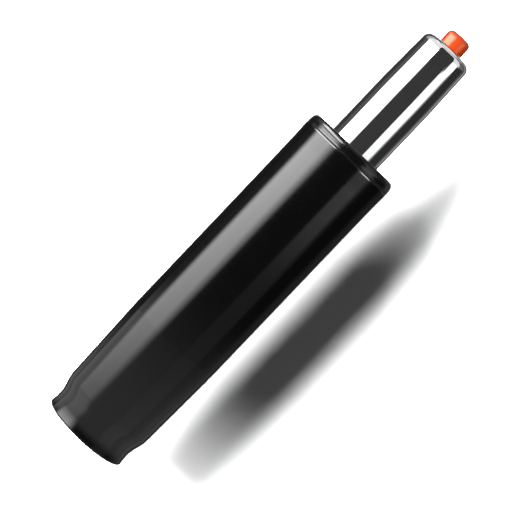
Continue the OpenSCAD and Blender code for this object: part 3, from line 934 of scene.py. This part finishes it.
class GASLIFT_OT_finishes(bpy.types.Operator):
    """Makes the shared effects and every finish."""

    bl_idname = "gas_lift.finishes"
    bl_label = "Finishes"

    def execute(self, context):
        colours = context.scene.gas_lift_finishes
        make_grain_group()
        make_ring_group()
        make_handling_group()
        make_rub_group()
        make_level_group()
        coat_finish("column_coat", colours.coat, 0.0, context.scene.gas_lift_column.height)
        # Slot, solid, colour, roughness, grain scale, grain depth, reach of the rubbed edge, tint
        mouldings = (
            ("bush_plastic", "guide_bush", colours.bush, 0.20, 1500.0, 0.002 * MM, 0.8 * MM, WHITE),
            ("button_plastic", "release_button", colours.button, 0.10, 1100.0, 0.001 * MM, 0.5 * MM, WARM),
            ("plug_plastic", "button_guide", colours.plug, 0.42, 1500.0, 0.01 * MM, 0.5 * MM, WHITE),
            ("guide_plastic", "rod_guide", colours.guide, 0.40, 1500.0, 0.01 * MM, 0.5 * MM, WHITE),
        )
        for slot, node, *look in mouldings:
            moulded_finish(slot, top_of(node), *look)
        # Slot, colour, roughness, ring scale, ring depth, stain
        metals = (
            ("tube_chrome", colours.chrome, 0.055, 5200.0, 0.0006 * MM, 0.06),
            ("rod_steel", colours.steel, 0.16, 6000.0, 0.002 * MM, 0.12),
            ("plate_steel", colours.zinc, 0.36, 1500.0, 0.006 * MM, 0.35),
            ("race_steel", colours.steel, 0.20, 5000.0, 0.003 * MM, 0.15),
            ("ball_steel", colours.steel, 0.06, 7000.0, 0.0005 * MM, 0.04),
            ("cage_brass", colours.brass, 0.30, 2600.0, 0.005 * MM, 0.25),
            ("washer_zinc", colours.zinc, 0.28, 2400.0, 0.004 * MM, 0.25),
            ("clip_steel", colours.oxide, 0.38, 1800.0, 0.005 * MM, 0.30),
            ("piston_aluminium", colours.aluminium, 0.24, 2200.0, 0.008 * MM, 0.12),
            ("inner_steel", colours.steel, 0.24, 3600.0, 0.003 * MM, 0.18),
            ("valve_brass", colours.brass, 0.24, 2200.0, 0.006 * MM, 0.18),
            ("pin_steel", colours.steel, 0.14, 5200.0, 0.002 * MM, 0.10),
        )
        for metal in metals:
            metal_finish(*metal)
        for slot in ("buffer_rubber", "seal_rubber"):
            rubber_finish(slot, colours.rubber)
        return {"FINISHED"}


class GASLIFT_OT_column(bpy.types.Operator):
    """Builds the black column tube with its necked foot, base taper, crimp and mouth."""

    bl_idname = "gas_lift.column"
    bl_label = "Column"

    def execute(self, context):
        profile = column_profile(context.scene.gas_lift_column)
        fitted(turned("black_column", profile), "column_tube", "column_coat")
        return {"FINISHED"}


class GASLIFT_OT_bush(bpy.types.Operator):
    """Builds the plastic guide bush with its head, lands and ribs."""

    bl_idname = "gas_lift.bush"
    bl_label = "Guide bush"

    def execute(self, context):
        rings, angles = bush_rings(context.scene.gas_lift_column, context.scene.gas_lift_bush)
        fitted(stacked("black_bush", rings, angles), "guide_bush", "bush_plastic")
        return {"FINISHED"}


class GASLIFT_OT_tube(bpy.types.Operator):
    """Builds the chromed pressure tube with its seat taper and rolled ends."""

    bl_idname = "gas_lift.tube"
    bl_label = "Pressure tube"

    def execute(self, context):
        profile = tube_profile(context.scene.gas_lift_tube)
        fitted(turned("chrome_tube", profile), "pressure_tube", "tube_chrome")
        return {"FINISHED"}


class GASLIFT_OT_button(bpy.types.Operator):
    """Builds the orange release button with its collar and pin socket."""

    bl_idname = "gas_lift.button"
    bl_label = "Release button"

    def execute(self, context):
        profile = button_profile(context.scene.gas_lift_button)
        fitted(turned("orange_button", profile), "release_button", "button_plastic")
        return {"FINISHED"}


class GASLIFT_OT_foot(bpy.types.Operator):
    """Builds the base plate, clip washer, retaining clip and rod, which show in the foot."""

    bl_idname = "gas_lift.foot"
    bl_label = "Foot fittings"

    def execute(self, context):
        size = context.scene.gas_lift_foot
        fitted(turned("foot_plate", plate_profile(size)), "base_plate", "plate_steel")
        fitted(turned("foot_washer", washer_profile(size)), "clip_washer", "washer_zinc")
        fitted(shaded("foot_clip", clip_body(size)), "retaining_clip", "clip_steel")
        fitted(turned("ground_rod", rod_profile(size)), "piston_rod", "rod_steel")
        return {"FINISHED"}


class GASLIFT_OT_inside(bpy.types.Operator):
    """Gives the pieces inside the column and the tube their finishes."""

    bl_idname = "gas_lift.inside"
    bl_label = "Inner pieces"

    def execute(self, context):
        finished("race_steel", "bearing_race_lower", "bearing_race_upper")
        finished("ball_steel", "bearing_balls")
        finished("cage_brass", "ball_cage")
        finished("buffer_rubber", "rubber_buffer")
        finished("washer_zinc", "buffer_washer", "piston_washer", "seal_washer", "gland_washer")
        finished("washer_zinc", "piston_nut")
        finished("piston_aluminium", "piston")
        finished("inner_steel", "inner_tube")
        finished("guide_plastic", "rod_guide")
        finished("valve_brass", "valve_body")
        finished("plug_plastic", "button_guide")
        finished("pin_steel", "valve_pin")
        finished("seal_rubber", "piston_seal", "rod_seal", "valve_body_seal")
        finished("seal_rubber", "inner_tube_seal", "valve_seat_seal", "pin_seal")
        return {"FINISHED"}


# Studio


def emptied(owner):
    """Node tree of a material or a world, with nothing in it yet."""
    owner.use_nodes = True
    owner.node_tree.nodes.clear()
    return owner.node_tree


def seen_share(tree):
    """1 for what the camera, metal or glass sees, 0 for other rays."""
    path = add(tree, "LightPath").outputs
    seen = calc(tree, "MAXIMUM", path["Is Camera Ray"], path["Is Glossy Ray"])
    return calc(tree, "MAXIMUM", seen, path["Is Transmission Ray"])


def direct_share(tree):
    """1 until a ray has met a matt surface, then 0."""
    depth = add(tree, "LightPath").outputs["Diffuse Depth"]
    return calc(tree, "LESS_THAN", depth, 0.5)


def card_light(name, light, feathers=(), clear=False):
    """Light of a card: one strength, or ramps over height of which the strongest counts.

    Feathers dim the first ramp over azimuth. A clear card lets through what lies behind it.
    """
    material = bpy.data.materials.new(name)
    tree = emptied(material)
    ramps = light if isinstance(light, tuple) else ((0.0, 1.0, light, light),)
    x, y, z = place_of(tree)[1:]
    strength = spread(tree, z, *ramps[0])
    left = calc(tree, "MULTIPLY", x, -1.0)
    front = calc(tree, "MULTIPLY", y, -1.0)
    azimuth = calc(tree, "ARCTAN2", left, front)
    for dim, full in feathers:
        share = mask(tree, azimuth, math.radians(dim), math.radians(full))
        strength = calc(tree, "MULTIPLY", strength, share)
    for ramp in ramps[1:]:
        strength = calc(tree, "MAXIMUM", strength, spread(tree, z, *ramp))
    strength = calc(tree, "MULTIPLY", strength, direct_share(tree))
    surface = add(tree, "Emission", Color=WHITE, Strength=strength).outputs["Emission"]
    if clear:
        through = add(tree, "BsdfTransparent").outputs["BSDF"]
        surface = fed(tree, "AddShader", surface, through).outputs[0]
    add(tree, "OutputMaterial", Surface=surface)
    return material


def card(name, near, far, closed, material):
    """Card between two rows of points, hidden from the camera and from soft light."""
    body = bmesh.new()
    rows = [[body.verts.new(point) for point in row] for row in (near, far)]
    count = len(near)
    for step in range(count if closed else count - 1):
        after = (step + 1) % count
        body.faces.new((rows[0][step], rows[0][after], rows[1][after], rows[1][step]))
    made = mesh_object(name, body)
    made.data.materials.append(material)
    made.visible_camera = False
    made.visible_diffuse = False
    made.visible_shadow = False
    made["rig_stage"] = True
    return made


def arc_card(name, start, end, low, high, radius, material):
    """Curved card round the axis. Azimuth runs from the camera to the left."""
    steps = max(2, int(abs(end - start) / CARD_STEP))
    lower, upper = [], []
    for step in range(steps + 1):
        turn = math.radians(start + (end - start) * step / steps)
        x, y = -radius * math.sin(turn), -radius * math.cos(turn)
        lower.append((x, y, low))
        upper.append((x, y, high))
    return card(name, lower, upper, False, material)


def ring_card(name, outer, height, material):
    """Level ring over or under the lift."""
    inside, outside = [], []
    for turn in even_angles(RING_STEPS):
        x, y = math.cos(turn), math.sin(turn)
        inside.append((RING_HOLE * x, RING_HOLE * y, height))
        outside.append((outer * x, outer * y, height))
    return card(name, inside, outside, True, material)


def lamp(name, place, width, height, power):
    """Soft lamp that lights surfaces but doesn't show itself."""
    light = bpy.data.lights.new(name, "AREA")
    light.shape = "ELLIPSE"
    light.size = width
    light.size_y = height
    light.energy = power
    made = linked_object(name, light)
    made.location = place
    made.rotation_euler = (Vector(LAMP_TARGET) - Vector(place)).to_track_quat("-Z", "Y").to_euler()
    made.visible_camera = False
    made.visible_glossy = False
    return made


def lights_only(light, names):
    """Lets a lamp or a card light only the named pieces."""
    lit = bpy.data.collections.new("lit_by_" + light.name)
    for name in names:
        lit.objects.link(bpy.data.objects[name])
    light.light_linking.receiver_collection = lit


def build_camera(scene, stage):
    """Camera turned about its line of sight, so that the lift leans in the picture."""
    data = bpy.data.cameras.new("camera")
    camera = linked_object("camera", data)
    target = Vector((stage.aim_side, 0.0, stage.aim_height))
    place = Vector((stage.aim_side, -stage.camera_distance, stage.camera_height))
    ahead = (target - place).normalized()
    level = Vector((1.0, 0.0, 0.0))
    rise = level.cross(ahead)
    cosine, sine = math.cos(stage.lean), math.sin(stage.lean)
    right = level * sine + rise * cosine
    up = rise * sine - level * cosine
    turn = Matrix((right, up, -ahead)).transposed()
    camera.matrix_world = Matrix.Translation(place) @ turn.to_4x4()
    data.lens = data.sensor_width * (target - place).length / stage.view_width
    data.clip_start, data.clip_end = CAMERA_CLIP
    scene.camera = camera


def build_world(scene):
    """White for what the camera, metal and glass see, and next to no light for the rest."""
    world = bpy.data.worlds.new("white_room")
    scene.world = world
    tree = emptied(world)
    seen = calc(tree, "MULTIPLY", seen_share(tree), direct_share(tree))
    strength = between(tree, seen, ROOM_LIGHT, 1.0)
    background = add(tree, "Background", Color=WHITE, Strength=strength)
    add(tree, "OutputWorld", Surface=background.outputs["Background"])


def build_backdrop(stage):
    """White sheet behind the lift that takes its shadow. From behind it isn't there."""
    half = BACKDROP_HALF
    low, high = stage.aim_height - half, stage.aim_height + half
    body = bmesh.new()
    corners = [(-half, low), (half, low), (half, high), (-half, high)]
    body.faces.new([body.verts.new((x, stage.backdrop_gap, z)) for x, z in corners])
    sheet = mesh_object("backdrop", body)
    material = bpy.data.materials.new("backdrop_white")
    tree = emptied(material)
    plain = add(tree, "BsdfDiffuse", Color=PLAIN_SHEET).outputs["BSDF"]
    bright = add(tree, "BsdfDiffuse", Color=BRIGHT_SHEET).outputs["BSDF"]
    front = fed(tree, "MixShader", seen_share(tree), plain, bright).outputs[0]
    behind = add(tree, "NewGeometry").outputs["Backfacing"]
    clear = add(tree, "BsdfTransparent").outputs["BSDF"]
    sides = fed(tree, "MixShader", behind, front, clear).outputs[0]
    add(tree, "OutputMaterial", Surface=sides)
    sheet.data.materials.append(material)
    sheet.visible_glossy = False
    sheet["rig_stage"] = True


def build_cards(stage):
    """Cards round the lift, for what its pieces mirror."""
    floor, low, waist, strip, top, roof = -1.6, -0.64, 0.19, 0.3, 0.9, 1.6
    # A ramp runs from one height to another, and from one strength to another
    box_ramp = (-0.125, 0.165, 1.7, 9.7)
    dim_ramp = (-0.1, 0.02, 0.5, 0.045)
    pale_ramp = (-0.04, 0.012, 1.05, 0.1)
    left_ramp = (-0.1, -0.03, 0.5, 0.05)
    right_ramp = (-0.1, 0.02, 0.32, 0.09)
    low_ramp = (-0.85, low, 0.08, 0.5)
    side_ramps = ((0.07, 0.215, 0.18, 1.35), (-0.13, 0.0, 0.65, 0.18))
    # Name, start and end in degrees, foot, top, light, and feathers in degrees
    cards = (
        ("softbox_inner", 25, 67, low, strip, (box_ramp, dim_ramp), (27.5, 47.5)),
        ("softbox_outer", 67, 104, low, strip, (box_ramp, pale_ramp), (96.5, 84)),
        ("softbox_strip", 32, 95, strip, top, ((0.315, 0.35, 12.0, 0.95),)),
        ("softbox_strip_end", 95, 104, strip, top, ((0.315, 0.36, 0.1, 0.95),)),
        ("softbox_strip_fall", 104, 128, strip, top, ((0.315, 0.36, 0.1, 0.45),)),
        ("front_flag", -36.5, 25, low, strip, (dim_ramp,)),
        ("front_flag_top", -44, 32, strip, top, (dim_ramp,)),
        ("right_card", -76.5, -36.5, low, strip, side_ramps, (-74, -66)),
        ("right_strip", -72, -44, strip, top, ((0.315, 0.35, 2.0, 0.9),)),
        ("right_strip_end", -82, -72, strip, top, ((0.315, 0.36, 0.03, 0.9),)),
        ("right_strip_fall", -115, -82, strip, top, ((0.315, 0.36, 0.03, 0.15),)),
        ("right_flag", -115, -76.5, low, strip, ((-0.1, 0.02, 0.44, 0.03),)),
        ("right_flag_edge", -127, -115, low, top, (right_ramp,)),
        ("right_slit", -143, -127, waist, top, 0.3),
        ("right_flag_low", -143, -127, low, waist, (right_ramp,)),
        ("right_back_flag", -156, -143, low, top, 0.02),
        ("left_flag", 104, 118, low, strip, (pale_ramp,)),
        ("left_flag_edge", 118, 145, low, strip, (left_ramp,)),
        ("left_flag_top", 128, 145, strip, top, (left_ramp,)),
        ("left_back_flag", 145, 156, low, top, 0.02),
        ("back_card", 156, 204, low, top, ((-0.1, 0.3, 0.35, 0.9),)),
        ("low_softbox", 30, 95, floor, low, 2.0),
        ("low_front_flag", -40, 30, floor, low, (low_ramp,)),
        ("low_side", -72, -40, floor, low, 0.7),
        ("low_right_flag", -150, -72, floor, low, (low_ramp,)),
        ("low_back", -205, -150, floor, low, 0.7),
        ("low_left_flag", 95, 155, floor, low, (low_ramp,)),
        ("roof_front", -36, 25, top, roof, 0.35),
        ("roof_left", 25, 104, top, roof, 0.5),
        ("roof_left_back", 104, 145, top, roof, 0.15),
        ("roof_right", -100, -36, top, roof, 0.2),
        ("roof_right_back", -145, -100, top, roof, 0.4),
        ("roof_back", 145, 215, top, roof, 0.02),
    )
    for name, start, end, bottom, upper, light, *feathers in cards:
        material = card_light(name + "_light", light, feathers)
        arc_card(name, start, end, bottom, upper, stage.card_radius, material)
    inner = stage.card_radius - CARD_INSET
    edge_low, edge_top = 0.45, 0.72
    button_low, button_top, rim_top = 0.2, 0.5, 1.15
    # Strips in front of the cards, each for the named pieces alone
    strips = (
        ("left_edge_strip", 32, 102, edge_low, edge_top, 16.0, ("black_column", "black_bush")),
        ("left_edge_strip_low", 32, 102, strip, edge_low, 16.0, ("black_column",)),
        ("right_edge_strip", -72, -44, strip, edge_top, 12.0, ("black_column",)),
        ("button_edge_strip", 22, 108, button_low, button_top, 3.6, ("orange_button",)),
        ("rim_strip", -72, 104, top, rim_top, 0.9, ("chrome_tube",)),
    )
    for name, start, end, bottom, upper, light, pieces in strips:
        material = card_light(name + "_light", light, clear=True)
        lights_only(arc_card(name, start, end, bottom, upper, inner, material), pieces)
    rim_light = card_light("rim_ring_light", 0.5, clear=True)
    lights_only(ring_card("rim_ring", inner, roof - CARD_INSET, rim_light), ("chrome_tube",))
    ring_card("roof_ring", stage.card_radius, roof, card_light("roof_ring_light", 0.4))
    ring_card("floor_ring", stage.card_radius, floor, card_light("floor_ring_light", (low_ramp,)))


def build_lamps(stage):
    """Key lamps that light the sheet and cast the shadow, and fills that light only the lift."""
    # Name, place, width, height, share of the power
    keys = (
        ("key_lamp_upper", (-0.7277, -1.1864, 0.4430), 0.5491, 1.1401, 0.491),
        ("key_lamp_middle", (-0.7054, -1.1864, 0.1508), 0.6267, 0.5272, 0.319),
        ("key_lamp_lower", (-0.7114, -1.1864, -0.2751), 0.6102, 1.4319, 0.190),
    )
    for name, place, width, height, share in keys:
        lamp(name, place, width, height, stage.key_power * share)
    fills = (
        ("fill_lamp_front", (0.0, -1.15, 0.3), 0.5, 0.5, 0.6),
        ("fill_lamp_left", (-0.8, 0.9, 0.4), 0.8, 0.8, 1.0),
        ("fill_lamp_right", (0.8, 0.9, 0.4), 0.8, 0.8, 1.0),
    )
    lit = [piece.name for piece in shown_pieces()]
    for name, place, width, height, share in fills:
        lights_only(lamp(name, place, width, height, stage.fill_power * share), lit)


class GASLIFT_OT_stage(bpy.types.Operator):
    """Sets up the camera, the backdrop, the cards and the lamps."""

    bl_idname = "gas_lift.stage"
    bl_label = "Stage"

    def execute(self, context):
        stage = context.scene.gas_lift_stage
        context.scene.view_settings.view_transform = "Standard"
        build_camera(context.scene, stage)
        build_world(context.scene)
        build_backdrop(stage)
        build_cards(stage)
        build_lamps(stage)
        return {"FINISHED"}


class GASLIFT_PT_panel(bpy.types.Panel):
    """Lists the steps that build the lift."""

    bl_idname = "GASLIFT_PT_panel"
    bl_label = "Gas lift"
    bl_space_type = "VIEW_3D"
    bl_region_type = "UI"
    bl_category = "Gas lift"

    def draw(self, context):
        for step in STEPS:
            self.layout.operator(step.bl_idname)
        for name, kind in SETTINGS.items():
            box = self.layout.box()
            box.label(text=kind.__doc__)
            for item in kind.__annotations__:
                box.prop(getattr(context.scene, name), item)


SETTINGS = {
    "gas_lift_column": ColumnSizes,
    "gas_lift_bush": BushSizes,
    "gas_lift_tube": TubeSizes,
    "gas_lift_button": ButtonSizes,
    "gas_lift_foot": FootSizes,
    "gas_lift_finishes": Finishes,
    "gas_lift_stage": StageSettings,
}
STEPS = (
    GASLIFT_OT_finishes,
    GASLIFT_OT_column,
    GASLIFT_OT_bush,
    GASLIFT_OT_tube,
    GASLIFT_OT_button,
    GASLIFT_OT_foot,
    GASLIFT_OT_inside,
    GASLIFT_OT_stage,
)
CLASSES = (*SETTINGS.values(), *STEPS, GASLIFT_PT_panel)


def register():
    for item in CLASSES:
        bpy.utils.register_class(item)
    for name, kind in SETTINGS.items():
        setattr(bpy.types.Scene, name, PointerProperty(type=kind))


def unregister():
    for name in SETTINGS:
        delattr(bpy.types.Scene, name)
    for item in reversed(CLASSES):
        bpy.utils.unregister_class(item)


def main():
    register()
    bpy.ops.gas_lift.finishes()
    bpy.ops.gas_lift.column()
    bpy.ops.gas_lift.bush()
    bpy.ops.gas_lift.tube()
    bpy.ops.gas_lift.button()
    bpy.ops.gas_lift.foot()
    bpy.ops.gas_lift.inside()
    bpy.ops.gas_lift.stage()


if __name__ == "__main__":
    main()
